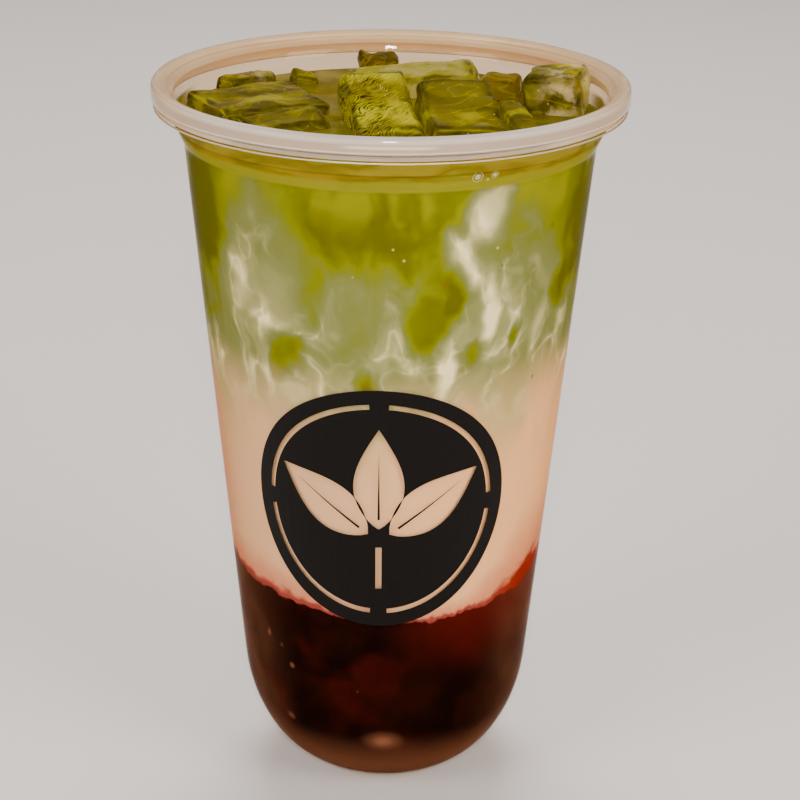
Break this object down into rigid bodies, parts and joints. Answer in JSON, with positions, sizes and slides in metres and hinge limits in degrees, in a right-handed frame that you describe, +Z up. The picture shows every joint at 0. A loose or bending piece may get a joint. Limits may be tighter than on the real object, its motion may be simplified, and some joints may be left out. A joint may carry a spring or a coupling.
{
  "type": "iced matcha latte in a takeaway cup",
  "caption": "Clear rounded takeaway cup filled with berry jam, milk and matcha in layers, with ice breaking the surface and a plain leaf badge on the front.",
  "frame": {"origin": "middle of the cup's flat base, on the surface it stands on", "axes": "+Z up along the cup's axis, -Y towards the side with the badge, +X to the right seen from that side"},
  "size_m": [0.09, 0.09, 0.1423],
  "materials": {
    "clear_plastic": "smooth, slightly frosted clear polypropylene",
    "dark_ink": "flat printed ink",
    "berry_jam": "wet dark berry jam with lumps",
    "milk": "smooth milk, tinted pink towards the jam",
    "matcha": "green matcha marbled with milk",
    "tinted_ice": "wet ice coated in matcha"
  },
  "bodies": {
    "root": {"cup": "clear_plastic", "badge": "dark_ink", "berry_jam": "berry_jam", "milk": "milk", "matcha": "matcha", "ice_left_slab": "tinted_ice", "ice_back_left": "tinted_ice", "ice_small_peak": "tinted_ice", "ice_back_slab": "tinted_ice", "ice_crushed": "tinted_ice", "ice_middle_cube": "tinted_ice", "ice_right_slab": "tinted_ice", "ice_knob": "tinted_ice", "ice_right_low": "tinted_ice", "ice_right_cube": "tinted_ice", "ice_front_left": "tinted_ice", "ice_front_right": "tinted_ice"}
  },
  "joints": []
}
